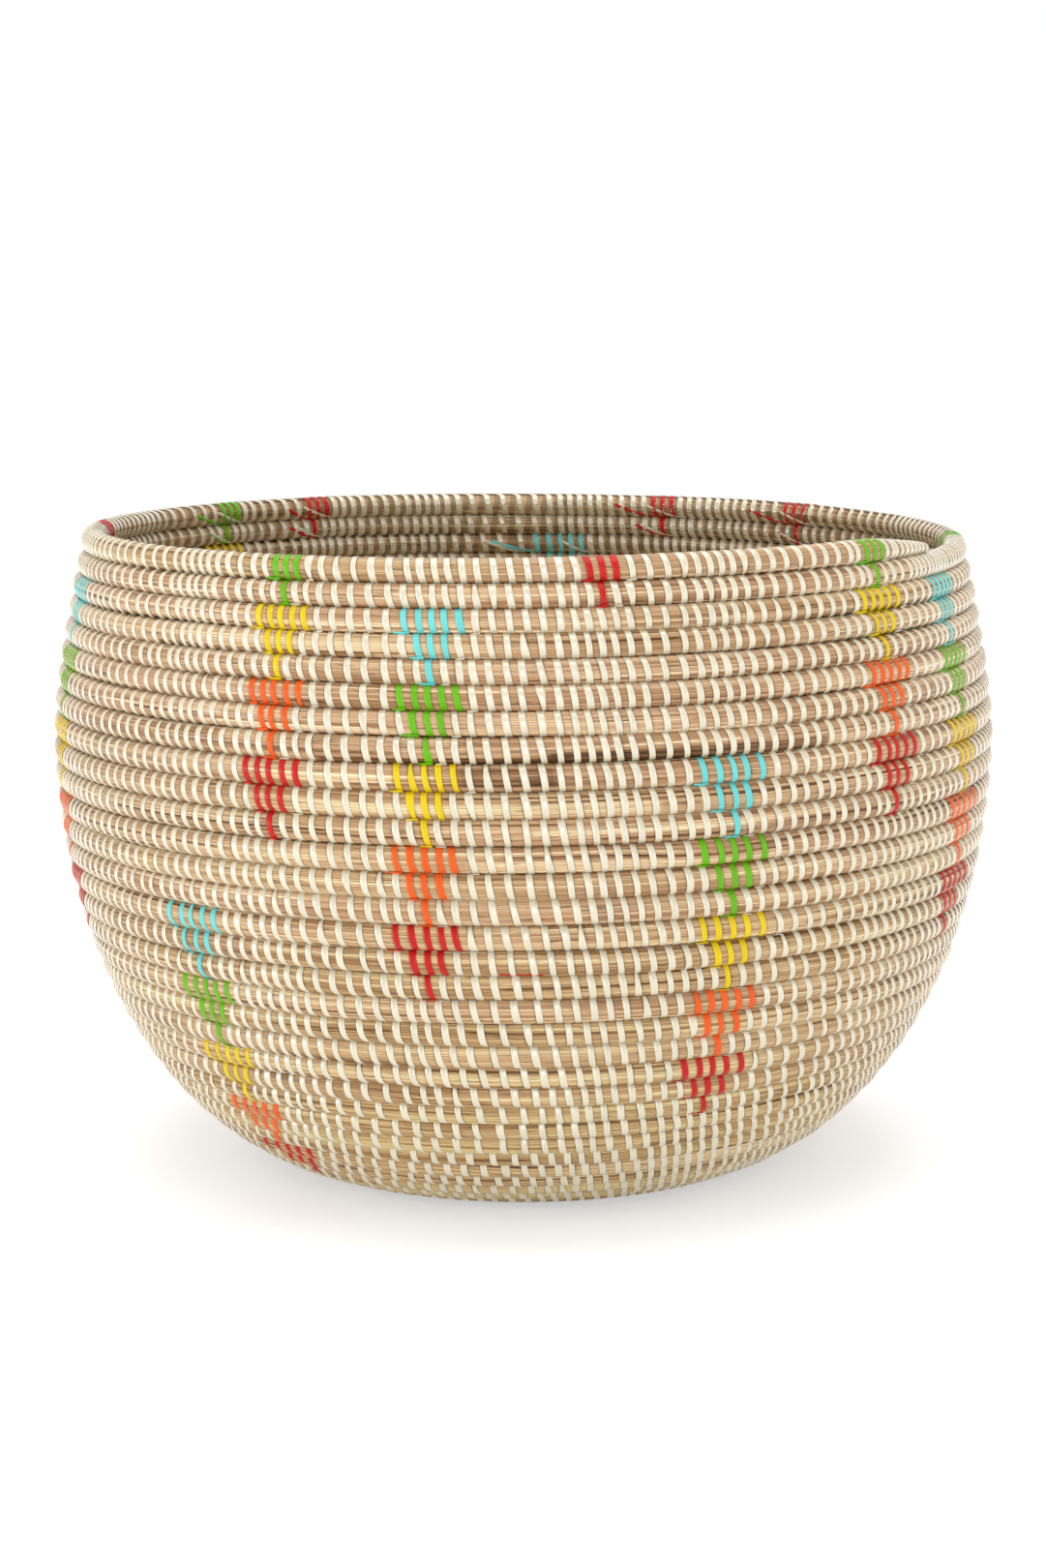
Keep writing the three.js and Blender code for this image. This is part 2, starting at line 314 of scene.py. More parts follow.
def makeStitches():
    random = np.random.default_rng(37)
    numbers = np.arange(math.ceil(stitchCount[0]) + 1, math.floor(stitchCount[-1]))
    shift = random.normal(0, binding["jitter"], len(numbers))
    odd = random.random(len(numbers)) < binding["oddShare"]
    shift[odd] *= binding["oddJitter"]
    turns = np.interp(numbers + shift, stitchCount, coilTurn)
    tailTurns = np.linspace(*binding["tailAngles"], binding["tailCount"]) / 360
    tailTurns += random.uniform(-binding["tailJitter"], binding["tailJitter"], len(tailTurns))
    keep = turns > tailTurns[-1] + binding["tailGap"] * (tailTurns[1] - tailTurns[0])
    turns = np.concatenate([tailTurns, turns[keep]])
    numbers = np.concatenate([np.full(len(tailTurns), -1), numbers[keep]])
    total = len(turns)
    colour = np.full(total, -1)
    owner = np.full(total, -1)
    for place, column in enumerate(columns.values()):
        for index in range(len(colourNames)):
            for level, stitches in enumerate(triangleStitches):
                row = column["topRow"] + len(triangleStitches) * index + level
                turn = turnAt(row, columnAngle(column, row))
                if row < 1 or turn < 0:
                    continue
                middle = round(float(np.interp(turn, coilTurn, stitchCount)))
                near = np.abs(numbers - middle) <= stitches // 2
                colour[near] = index
                owner[near] = place
    pinched = random.random(total) < binding["pinchedShare"]
    lean = binding["lean"] * random.normal(1, binding["leanSpread"], total)
    width = np.clip(random.normal(1, binding["widthSpread"], total), *binding["widthLimits"])
    taper = random.normal(0, binding["taperSpread"], total)
    taper += pinched * random.choice([-binding["pinch"], binding["pinch"]], total)
    return {
        "turn": turns,
        "colour": colour,
        "owner": owner,
        "lean": lean,
        "width": width * np.where(colour < 0, 1, strip["colouredWidth"]),
        "taper": taper,
        "bow": random.normal(0, binding["bow"], total),
        "tone": random.random(total),
        "crease": random.random(total),
    }


strip = {
    "width": 0.0028,
    "colouredWidth": 0.92,
    "rise": 0.00022,
    "colours": {
        "cream": srgb(214, 206, 180),
        "turquoise": srgb(106, 208, 207),
        "green": srgb(98, 178, 8),
        "yellow": srgb(224, 195, 6),
        "orange": srgb(238, 92, 24),
        "red": srgb(194, 24, 24),
    },
    "edgeLight": 1.08,  # the rolled edges catch more light than the flat of the strip
    "flatLight": 0.95,
    "edgePlaces": [0.4, 0.95],  # from the strip's middle to its side
    "shine": 0.1,
    "coats": {"cream": (1, 1.95)},  # how much of the strip's gloss shows, and its refraction
    "otherCoat": (0.22, 1.5),
    "coatRoughness": 0.2,
    "roughness": [0.25, 0.5],
    "bump": 0.3,
    "bumpHeight": 0.0001,
    "lineLength": 30,  # drawn lines in each metre along the strip, then across it
    "lineWidth": 2600,
    "lineShade": 0.12,
    "stitchShade": 0.09,
    "evenTone": 0.7,  # a stitch with this tone keeps its colour
    "grooveStart": 0.78,  # share of the bundle's half height
    "underShade": 4,  # painted shade: how dark the strip gets in the groove below, then above
    "overShade": 1.6,
    "outsideAngles": [90, 74, 58, 40, 20, 0, -20, -40, -58, -74, -90],
    "insideAngles": [-110, -133, -157, -180, -203, -227, -250],
    "acrossPlaces": [-1, -0.88, -0.35, 0.35, 0.88, 1],
    "acrossRise": [-0.25, 0.78, 1, 1, 0.78, -0.25],
    "crease": 0.6,
    "taperLimits": [0.35, 1.2],
    "insideCrossing": 0.17,
    "loneSpacing": 0.0065,  # for a stitch with no neighbour of its colour
    "mapWidth": 0.0062,
    "mapAcross": [0, 0.5, 2, 3.6, 5.1, 5.6, 10.4],
    "mapStep": 0.0018,
    "mapShift": 0.37,
    "cellShape": 5.2,  # on the OFBake map, a stitch is this much longer than it is wide
    "cellMargins": [0.04, 0.06],
    "endSink": 0.4,  # a loose end lies closer towards its tip
    "endRise": 0.6,
    "endMapStep": 0.0015,
}

stitches = makeStitches()
stitchTotal = len(stitches["turn"])
print("binding:", stitchTotal, "stitches,", int((stitches["colour"] >= 0).sum()), "of them coloured")


# Turns where the coil's stretches meet, as in the frame, each then halved
def coilPieces():
    names = ["shoulder", "belly", "lower_wall", "heel", "foot"]
    atBack = (coil["endAngle"] + 180) / 360
    rimTurns, baseRadius = 2, 0.084
    baseTurns = rimTurns
    while np.interp(atBack + baseTurns, coilTurn, coilRadius) > baseRadius:
        baseTurns += 1
    pieces = [("rim", "rim_coil", 0.0, atBack + rimTurns)]
    start = rimTurns
    for number, name in enumerate(names, 1):
        end = rimTurns + math.floor((baseTurns - rimTurns) * number / len(names) + 0.5)
        middle = (start + end) // 2
        pieces.append((name + "_upper", name + "_coil", atBack + start, atBack + middle))
        pieces.append((name + "_lower", name + "_coil", atBack + middle, atBack + end))
        start = end
    pieces.append(("base", "base_coil", atBack + baseTurns, lastTurn))
    return pieces


pieces = coilPieces()


# A mesh from a grid of points, rings by sides. Rings that aren't joined to the next end in a flat cap.
def ringMesh(name, points, joined, outward, maps, marks, material):
    rings, sides = points.shape[:2]
    joinedRings = np.nonzero(joined)[0]
    first = joinedRings[:, None] * sides
    side = np.arange(sides)[None, :]
    across = (side + 1) % sides
    order = [(0, 0), (0, 1), (1, 1), (1, 0)]  # ring and side of each corner of a face
    if not outward:
        order = [order[0], *order[:0:-1]]
    corners = [first + sides * far + (across if over else side) for far, over in order]
    quads = np.stack(corners, -1).reshape(-1, 4)
    starts = np.nonzero(~np.concatenate([[False], joined[:-1]]))[0]
    ends = np.nonzero(~joined)[0]
    turning = -1 if outward else 1
    startCaps = (starts[:, None] * sides + side)[:, ::turning]
    endCaps = (ends[:, None] * sides + side)[:, ::-turning]
    caps = np.vstack([startCaps, endCaps])
    loops = np.concatenate([quads.ravel(), caps.ravel()]).astype(np.int32)
    faceStart = np.concatenate([np.arange(len(quads)) * 4, len(quads) * 4 + np.arange(len(caps)) * sides])
    mesh = bpy.data.meshes.new(name)
    mesh.vertices.add(rings * sides)
    mesh.vertices.foreach_set("co", points.astype(np.float32).ravel())
    mesh.loops.add(len(loops))
    mesh.loops.foreach_set("vertex_index", loops)
    mesh.polygons.add(len(faceStart))
    mesh.polygons.foreach_set("loop_start", faceStart.astype(np.int32))
    mesh.polygons.foreach_set("use_smooth", np.ones(len(faceStart), bool))
    for mapName, (along, acrossValue) in maps.items():
        # along has each ring's start and end value, acrossValue gives each side's
        grid = np.zeros((len(joinedRings), sides, 4, 2), np.float32)
        for corner, (far, over) in enumerate(order):
            grid[:, :, corner, 0] = along[joinedRings, far][:, None]
            grid[:, :, corner, 1] = acrossValue(joinedRings, over)
        layer = mesh.uv_layers.new(name=mapName)
        capCorners = np.zeros((caps.size, 2), np.float32)
        layer.data.foreach_set("uv", np.concatenate([grid.ravel(), capCorners.ravel()]))
    for markName, values in marks.items():
        kind = "FLOAT_VECTOR" if values.ndim == 3 else "FLOAT"
        field = "vector" if values.ndim == 3 else "value"
        mark = mesh.attributes.new(markName, kind, "POINT")
        mark.data.foreach_set(field, values.astype(np.float32).ravel())
    mesh.update(calc_edges=True)
    mesh.validate()
    mesh.materials.append(material)
    thing = bpy.data.objects.new(name, mesh)
    bpy.context.scene.collection.objects.link(thing)
    return thing


def newMaterial(name):
    material = bpy.data.materials.new(name)
    material.use_nodes = True
    tree = material.node_tree
    return material, tree, tree.nodes["Principled BSDF"]


def fill(tree, node, inputs):
    for key, value in inputs.items():
        if isinstance(value, bpy.types.NodeSocket):
            tree.links.new(value, node.inputs[key])
        else:
            node.inputs[key].default_value = value


def addNode(tree, kind, inputs=None, **settings):
    node = tree.nodes.new(kind)
    for key, value in settings.items():
        setattr(node, key, value)
    fill(tree, node, inputs or {})
    return node


# Fine lines that run along a strand: stretched noise over a map in metres
def strandNoise(tree, mapName, perMetreAlong, perMetreAcross, detail=3):
    place = addNode(tree, "ShaderNodeUVMap", uv_map=mapName)
    scale = (perMetreAlong, perMetreAcross, 1)
    stretched = addNode(tree, "ShaderNodeMapping", {"Vector": place.outputs["UV"], "Scale": scale})
    noise = {"Vector": stretched.outputs["Vector"], "Scale": 1, "Detail": detail, "Roughness": 0.6}
    return addNode(tree, "ShaderNodeTexNoise", noise).outputs["Fac"]


def maths(tree, operation, first, second, third=None):
    inputs = {0: first, 1: second}
    if third is not None:
        inputs[2] = third
    return addNode(tree, "ShaderNodeMath", inputs, operation=operation).outputs[0]


def mapRange(tree, value, toMin, toMax, fromMin=0, fromMax=1, kind="LINEAR"):
    ranges = {"Value": value, "From Min": fromMin, "From Max": fromMax, "To Min": toMin, "To Max": toMax}
    return addNode(tree, "ShaderNodeMapRange", ranges, interpolation_type=kind).outputs["Result"]


def multiplied(tree, factor, colour, other):
    inputs = {"Factor": factor, 6: colour, 7: other}
    return addNode(tree, "ShaderNodeMix", inputs, data_type="RGBA", blend_type="MULTIPLY").outputs[2]


# The colour, with roughness and bump that follow the fine lines
def finish(tree, shader, colour, lines, piece):
    bump = {"Height": lines, "Strength": piece["bump"], "Distance": piece["bumpHeight"]}
    surface = {
        "Base Color": colour,
        "Roughness": mapRange(tree, lines, *piece["roughness"]),
        "Specular IOR Level": piece["shine"],
        "Normal": addNode(tree, "ShaderNodeBump", bump).outputs["Normal"],
    }
    fill(tree, shader, surface)


# Painted shade in the grooves between the rows: how dark a surface gets there, at these angles round the
# bundle
def grooveShade(angles, piece):
    depth = ease((np.abs(np.sin(angles)) - piece["grooveStart"]) / (1 - piece["grooveStart"]))
    depth = depth * (np.cos(angles) > 0)
    return depth * np.where(np.sin(angles) < 0, piece["underShade"], piece["overShade"])


grass = {
    "colours": [
        (0.00, srgb(62, 36, 12)),
        (0.22, srgb(116, 78, 40)),
        (0.45, srgb(177, 136, 96)),
        (0.62, srgb(205, 167, 128)),
        (0.80, srgb(230, 200, 158)),
        (1.00, srgb(246, 224, 184)),
    ],
    "crackLength": 16,  # dark gaps between stems: how many in each metre along, then across
    "crackWidth": 800,
    "crackThin": 0.024,
    "crackShade": 0.42,
    "crackPatches": [35, 260],  # they come in patches
    "crackPatchEdge": [0.4, 0.54],
    "olive": srgb(214, 226, 160),
    "fineLength": 22,  # fibres in each metre along the stem, then across it
    "fineWidth": 3300,
    "fineShade": 0.30,
    "shine": 0.22,
    "roughness": [0.3, 0.46],
    "bump": 0.35,
    "bumpHeight": 0.00015,
    "grooveStart": 0.76,  # share of the bundle's half height
    "underShade": 0.34,  # painted shade: how dark the stems get in the groove below, then above
    "overShade": 0.12,
    "valleyShade": 0.6,
    "besideShade": 0.62,  # and the painted shade beside a stitch, between these distances from its middle
    "besideReach": [0.0013, 0.0019],
    "outerStems": 17,
    "outerArc": [-70, 94],  # degrees up from straight out, where the stems stand out separately
    "innerStems": 11,
    "innerArc": [114, 246],
    "outerMap": [-70, 91],
    "innerMap": [114, 242],
    "mapRadius": 0.0052,
    "stemLengths": [0.06, 0.2],
    "widthSpread": 0.22,  # how much a stem's width changes, and over what length
    "widthLength": 0.05,
    "shift": 0.01,
    "shiftLength": 0.08,
    "flanks": [0.28, 0.72],
    "tone": 0.57,
    "patchTone": 0.09,
    "patchLength": 0.11,
    "stemTone": 0.30,
    "oddShare": 0.07,  # some stems are much darker, and as many much lighter
    "oddTone": 0.25,
    # painted shade: the tone of the grass in the grooves where the rows meet
    "grooveShadeTone": 0.2,
    "paintedLightRows": [16, 24],  # painted light: the grass is made lighter from here down
    "paintedLowLight": 0.08,
    "oliveRows": [9, 23],  # and greener
    "lowOlive": 0.34,
    "patchOlive": 0.12,
    "olivePatchLength": 0.4,
    "paleOlive": 0.16,
    "insideOlive": 0.18,
    "ridge": 0.0002,
    "rowMargin": 0.03,  # on the OFBake map
    "proud": 0.00009,
    "bulge": 0.00016,  # the bundle swells between stitches
}


def grassMaterial():
    material, tree, shader = newMaterial("grass")
    look = addNode(tree, "ShaderNodeAttribute", attribute_name="stemLook").outputs["Vector"]
    split = addNode(tree, "ShaderNodeSeparateXYZ", {0: look}).outputs
    fine = strandNoise(tree, "stemRun", grass["fineLength"], grass["fineWidth"])
    shade = maths(tree, "SUBTRACT", fine, 0.5)
    tone = maths(tree, "MULTIPLY_ADD", shade, grass["fineShade"] * 2, split["X"])
    ramp = addNode(tree, "ShaderNodeValToRGB", {"Fac": tone})
    stops = ramp.color_ramp.elements
    while len(stops) < len(grass["colours"]):
        stops.new(0.5)
    for stop, (place, colour) in zip(stops, grass["colours"]):
        stop.position = place
        stop.color = colour
    greened = multiplied(tree, split["Z"], ramp.outputs["Color"], grass["olive"])
    # painted shade in the dips between the stems
    crown = mapRange(tree, split["Y"], grass["valleyShade"], 1)
    gaps = strandNoise(tree, "stemRun", grass["crackLength"], grass["crackWidth"], 1)
    nearGap = maths(tree, "ABSOLUTE", maths(tree, "SUBTRACT", gaps, 0.5), 0)
    crack = mapRange(tree, nearGap, 1, 0, 0.2 * grass["crackThin"], grass["crackThin"])
    where = strandNoise(tree, "stemRun", *grass["crackPatches"], 1)
    depth = maths(tree, "MULTIPLY", crack, mapRange(tree, where, 0, 1, *grass["crackPatchEdge"]))
    left = maths(tree, "MULTIPLY_ADD", depth, grass["crackShade"] - 1, 1)
    # painted shade on the grass beside each stitch
    away = addNode(tree, "ShaderNodeAttribute", attribute_name="fromStitch").outputs["Fac"]
    clear = mapRange(tree, away, grass["besideShade"], 1, *grass["besideReach"])
    shaded = maths(tree, "MULTIPLY", maths(tree, "MULTIPLY", crown, left), clear)
    finish(tree, shader, multiplied(tree, 1, greened, shaded), fine, grass)
    return material


def stripMaterial(name):
    material, tree, shader = newMaterial(name + " strip")
    lines = strandNoise(tree, "stripRun", strip["lineLength"], strip["lineWidth"])
    tone = addNode(tree, "ShaderNodeAttribute", attribute_name="stitchToneAndShade").outputs["Fac"]
    lined = maths(tree, "MULTIPLY_ADD", maths(tree, "SUBTRACT", lines, 0.5), 2 * strip["lineShade"], 1)
    varied = maths(tree, "SUBTRACT", tone, strip["evenTone"])
    stitched = maths(tree, "MULTIPLY_ADD", varied, strip["stitchShade"], lined)
    place = addNode(tree, "ShaderNodeUVMap", uv_map="stripRun").outputs["UV"]
    across = addNode(tree, "ShaderNodeSeparateXYZ", {0: place}).outputs["Y"]
    middle = 0.27 * strip["mapWidth"]  # the strip's outer face takes up the first half of the map
    aside = maths(tree, "ABSOLUTE", maths(tree, "SUBTRACT", across, middle), 0)
    flatEnd, edgeStart = (middle * share for share in strip["edgePlaces"])
    edge = mapRange(tree, aside, strip["flatLight"], strip["edgeLight"], flatEnd, edgeStart)
    shaded = maths(tree, "MULTIPLY", stitched, edge)
    finish(tree, shader, multiplied(tree, 1, strip["colours"][name], shaded), lines, strip)
    weight, refraction = strip["coats"].get(name, strip["otherCoat"])
    coat = {"Coat Weight": weight, "Coat IOR": refraction, "Coat Roughness": strip["coatRoughness"]}
    fill(tree, shader, coat)
    return material


# Random values that hold for a while along each stem, as one stem ends and the next begins
def stemValues(run, stems, random):
    lengths = random.uniform(*grass["stemLengths"], stems)
    starts = random.uniform(0, grass["stemLengths"][1], stems)
    place = ((run[:, None] + starts) / lengths).astype(int)
    values = random.random((place.max() + 1, stems))
    return values[place, np.arange(stems)[None, :]]


def smoothField(run, across, step, random):
    place = run / step
    whole = np.floor(place).astype(int)
    values = random.normal(0, 1, (whole.max() - whole.min() + 2, across))
    share = ease(place - whole)[:, None]
    first = whole - whole.min()
    return values[first] * (1 - share) + values[first + 1] * share


# Stems that stand out in the photograph: row, angles from and to, heights from and to in the row (0 at its
# bottom), and how much lighter or darker they are
streaks = [
    (3, 12, 38, 0.1, 0.7, -0.1),
    (4, -48, -18, 0.02, 0.2, -0.3),
    (7, -40, 30, 0, 0.3, 0.22),
    (8, 2, 36, 0.02, 0.4, -0.32),
    (8, -24, 2, 0.02, 0.22, -0.3),
    (8, -40, -14, 0.3, 0.5, -0.16),
    (8, -36, -8, 0.66, 0.92, 0.2),
    (8, -8, 30, 0.55, 0.66, 0.2),
    (9, -7, 4, 0.2, 0.85, -0.2),
    (9, -30, -14, 0.3, 0.55, 0.25),
    (10, -25, 15, 0.25, 0.6, 0.22),
    (11, 1, 26, 0.45, 0.58, 0.3),
    (11, 8, 24, 0.2, 0.34, -0.25),
    (12, -6, 30, 0.1, 0.5, 0.16),
    (20, -34, -14, 0.1, 0.5, -0.12),
    (22, -18, -4, 0.3, 0.6, -0.2),
    (25, 17, 30, 0.35, 0.7, -0.25),
]


# One side of the bundle's stems: three points across each, the first of them in the dip beside it
def layStems(run, stems, arc, random):
    rings = len(run)
    low, high = arc
    widths = np.exp(grass["widthSpread"] * smoothField(run, stems, grass["widthLength"], random))
    widths = widths / widths.sum(axis=1, keepdims=True)
    edges = np.hstack([np.zeros((rings, 1)), np.cumsum(widths, axis=1)[:, :-1]])
    shift = smoothField(run, 1, grass["shiftLength"], random) * grass["shift"]
    near, far = grass["flanks"]
    spots = np.stack([edges, edges + near * widths, edges + far * widths], -1).reshape(rings, -1)
    angles = low + (high - low) * np.clip(spots + shift * np.sin(np.pi * spots), 0, 1)
    proud = np.repeat(grass["proud"] * (stemValues(run, stems, random) * 2 - 1), 3, axis=1)
    crown = np.tile([0.0, 1.0, 1.0], stems)[None, :].repeat(rings, 0)
    coarse = smoothField(run, 5, grass["patchLength"], random)
    spread = np.linspace(0, 4, stems)
    under = np.floor(np.minimum(spread, 3.999)).astype(int)
    share = spread - under
    patches = coarse[:, under] * (1 - share) + coarse[:, under + 1] * share
    own = stemValues(run, stems, random) - 0.5
    tone = grass["tone"] + grass["patchTone"] * patches + grass["stemTone"] * own
    dark = stemValues(run, stems, random) < grass["oddShare"]
    pale = stemValues(run, stems, random) > 1 - grass["oddShare"]
    tone = tone - grass["oddTone"] * dark + grass["oddTone"] * pale
    return {"angles": angles, "proud": proud, "crown": crown, "tone": np.repeat(tone, 3, axis=1)}


def grassArrays():
    random = np.random.default_rng(53)
    turns = stitches["turn"]
    middles = (turns[:-1] + turns[1:]) / 2
    ringTurn = np.empty(2 * len(turns) - 1)
    ringTurn[0::2] = turns
    ringTurn[1::2] = middles
    phase = np.tile([-1.0, 1.0], len(turns))[: len(ringTurn)]
    lean = np.empty(len(ringTurn))
    lean[0::2] = stitches["lean"]
    lean[1::2] = (stitches["lean"][:-1] + stitches["lean"][1:]) / 2
    ringTurn = np.concatenate([[0], ringTurn, [lastTurn]])
    phase = np.concatenate([[0], phase, [0]])
    lean = np.concatenate([[0], lean, [0]])
    for _, _, _, cut in pieces[:-1]:
        ringTurn[np.argmin(np.abs(ringTurn - cut))] = cut
    run = np.interp(ringTurn, coilTurn, coilRun)
    rings = len(ringTurn)
    outer = layStems(run, grass["outerStems"], grass["outerArc"], random)
    inner = layStems(run, grass["innerStems"], grass["innerArc"], random)
    below, above, under = [-90, -80], [94, 104], [246, 258]

    # The stems' values with the grooves between them, which have the one value given or their own angles
    def allRound(key, between=None):
        def grooves(degrees):
            return [np.full((rings, 1), float(angle if between is None else between)) for angle in degrees]

        return np.hstack([*grooves(below), outer[key], *grooves(above), inner[key], *grooves(under)])

    angles = np.radians(allRound("angles"))
    crown = allRound("crown", 0)
    dip = 1 - allRound("crown", 1)
    proud = allRound("proud", 0)
    tone = allRound("tone", grass["grooveShadeTone"])
    heightShare = (np.sin(angles) + 1) / 2
    outside = np.cos(angles) > 0
    for row, fromAngle, toAngle, low, high, change in streaks:
        within = (ringTurn > turnAt(row, toAngle)) & (ringTurn < turnAt(row, fromAngle))
        band = outside & (heightShare > low) & (heightShare < high) & within[:, None]
        tone = tone + change * band
    row = ringTurn + 1
    # painted light on the lower rows, which face down towards the floor
    tone = tone + np.interp(row, grass["paintedLightRows"], [0, grass["paintedLowLight"]])[:, None]
    # painted shade in the grooves between the rows
    tone = tone - grooveShade(angles, grass)
    patches = smoothField(run, 1, grass["olivePatchLength"], random)[:, 0]
    olive = np.interp(row, grass["oliveRows"], [0, grass["lowOlive"]]) + grass["patchOlive"] * patches
    olive = np.where(outside, olive[:, None], grass["insideOlive"])
    olive = np.clip(olive + grass["paleOlive"] * (tone - 0.5), 0, 1)
    place = coilAt(ringTurn)
    rise = proud - grass["ridge"] * dip + grass["bulge"] * phase[:, None] * np.abs(np.cos(angles))
    outward = (place["halfDepth"][:, None] + rise) * np.cos(angles)
    upward = (place["halfHeight"][:, None] + rise) * np.sin(angles)
    shear = -np.sin(angles) * (lean * place["halfHeight"])[:, None]
    points = place["middle"][:, None, :] + place["out"][:, None, :] * outward[..., None]
    points = points + place["up"][:, None, :] * upward[..., None]
    points = points + place["ahead"][:, None, :] * shear[..., None]
    looks = np.stack([tone, crown, olive], -1)
    nearest = np.abs(run[:, None] - np.interp(turns, coilTurn, coilRun)[None, :]).min(1)
    away = np.repeat(nearest[:, None], angles.shape[1], axis=1)
    outerPlaces = np.linspace(*grass["outerMap"], 3 * grass["outerStems"])
    innerPlaces = np.linspace(*grass["innerMap"], 3 * grass["innerStems"])
    around = np.radians(np.array([*below, *outerPlaces, *above, *innerPlaces, *under, 270]))
    return ringTurn, run, points, looks, away, around * grass["mapRadius"]


def layGrass(material):
    ringTurn, run, points, looks, away, around = grassArrays()
    sides = points.shape[1]
    for name, node, start, end in pieces:
        within = np.nonzero((ringTurn >= start - 1e-9) & (ringTurn <= end + 1e-9))[0]
        first, last = within[0], within[-1] + 1
        count = last - first
        joined = np.ones(count, bool)
        joined[-1] = False
        length = run[last - 1] - run[first]
        rows = max(1, round(math.sqrt(length / (around[-1] - around[0]))))
        perRow = math.ceil((count - 1) / rows)
        segment = np.arange(count)
        bakeAlong = np.stack([(segment % perRow) / perRow, (segment % perRow + 1) / perRow], -1)
        bakeRow = segment // perRow
        runAlong = np.stack([run[first:last], np.append(run[first + 1:last], run[last - 1])], -1)

        def bakeAcross(chosen, over):
            share = (around[over:sides + over] - around[0]) / (around[-1] - around[0])
            margin = grass["rowMargin"]
            return (bakeRow[chosen][:, None] + margin + (1 - 2 * margin) * share[None, :]) / rows

        def runAcross(chosen, over):
            return np.broadcast_to(around[over:sides + over][None, :], (len(chosen), sides))

        maps = {"OFBake": (bakeAlong, bakeAcross), "stemRun": (runAlong, runAcross)}
        marks = {"stemLook": looks[first:last], "fromStitch": away[first:last]}
        thing = ringMesh(name + "_grass", points[first:last], joined, True, maps, marks, material)
        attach(thing, "root")
        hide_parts(node)
    print("grass:", len(pieces), "pieces,", points.shape[0] * points.shape[1], "points")


# The strip's rings over these stitches, which follow one another to the right
def ribbonRings(chosen):
    outside = np.radians(strip["outsideAngles"])
    inside = np.radians(strip["insideAngles"])
    turn = stitches["turn"][chosen]
    place = coilAt(turn)
    perMetre = 1 / (2 * math.pi * place["radius"])
    half = stitches["lean"][chosen] * place["halfHeight"] * perMetre
    spacing = -np.diff(turn)
    lone = strip["loneSpacing"] * perMetre[0]
    spacing = np.append(spacing, spacing[-1] if len(spacing) else lone)
    nextHalf = np.append(half[1:], half[-1])
    gap = spacing - half - nextHalf
    bow = stitches["bow"][chosen] * perMetre
    outsideTurn = turn[:, None] + half[:, None] * np.sin(outside) - bow[:, None] * np.cos(outside)
    # most of the way to the next stitch is made in the grooves, so the strip stands nearly upright inside
    crossing = 0.5 + strip["insideCrossing"] * np.sin(inside)
    insideTurn = turn[:, None] - half[:, None] - gap[:, None] * crossing
    turns = np.hstack([outsideTurn, insideTurn])
    angles = np.concatenate([outside, inside])
    taper = 1 + stitches["taper"][chosen][:, None] * np.sin(angles) * (np.cos(angles) > 0)
    widths = strip["width"] * stitches["width"][chosen][:, None] * np.clip(taper, *strip["taperLimits"])
    # each stitch's own random tone, less the painted shade in the grooves
    marks = stitches["tone"][chosen][:, None] - grooveShade(angles, strip)[None, :]
    creases = np.repeat(stitches["crease"][chosen][:, None], len(angles), axis=1)
    lastAngle = np.radians(-270)
    turns = np.append(turns.ravel(), turn[-1] - half[-1] - gap[-1])
    angles = np.append(np.tile(angles, len(turn)), lastAngle)
    widths = np.append(widths.ravel(), strip["width"])
    return turns, angles, widths, np.append(marks.ravel(), marks[-1, -1]), np.append(creases.ravel(), 0.5)


# Where a colour starts, the end of its strip shows in the groove at the foot of its first stitch
tag = {
    "before": 0.0012,  # it comes out this far before the stitch
    "shortest": 0.003,
    "longer": 0.0026,
    "widths": [0.0022, 0.0012],
    "wideFirst": 0.6,  # share of the tags that get narrower towards their end
    "creamSize": 0.6,
    "angles": [-58, -64],
    "rise": 0.0007,
    "rings": 6,
}

# Where it stops, its other end is tucked under the stitches inside
tuck = {
    "before": 0.003,
    "shortest": 0.014,
    "longer": 0.014,
    "widths": [0.002, 0.0014],
    "angles": [240, 160],
    "rise": 0.00005,
    "rings": 9,
}

# Longer ends that show in the groove under a row, from and to these places in degrees from the front
looseEnds = {
    "mid_left_red_triangle": {
        "row": 16,
        "places": [2.2, -2.8],
        "widths": [0.0016, 0.0013],
        "angles": [-50, -46],
        "rise": 0.00003,
        "rings": 9,
    },
}


def strayEnd(turns, widths, piece):
    share = np.linspace(0, 1, piece["rings"])
    pairs = (turns, widths, piece["angles"])
    turns, widths, angles = (first + (last - first) * share for first, last in pairs)
    return turns, np.radians(angles), widths, piece["rise"] * (1 - strip["endSink"] * share)


def strayEnds(name, chosen, isFirst):
    first = chosen[0]
    tone = float(stitches["tone"][first])
    crease = float(stitches["crease"][first])
    place = coilAt(stitches["turn"][first : first + 1])
    metre = 1 / (2 * math.pi * float(place["radius"][0]))
    half = float(stitches["lean"][first] * place["halfHeight"][0]) * metre
    foot = float(stitches["turn"][first]) - half
    head = float(stitches["turn"][chosen[-1]])
    long = tag["shortest"] + tag["longer"] * crease
    widths = tag["widths"] if crease < tag["wideFirst"] else tag["widths"][::-1]
    if stitches["colour"][first] < 0:
        long, widths = tag["creamSize"] * long, [tag["creamSize"] * width for width in widths]
    ends = [strayEnd([foot - tag["before"] * metre, foot + long * metre], widths, tag)]
    far = tuck["shortest"] + tuck["longer"] * tone
    ends.append(strayEnd([head - tuck["before"] * metre, head - far * metre], tuck["widths"], tuck))
    if isFirst and name in looseEnds:
        loose = looseEnds[name]
        turns = [turnAt(loose["row"], angle) for angle in loose["places"]]
        ends.append(strayEnd(turns, loose["widths"], loose))
    return ends, tone


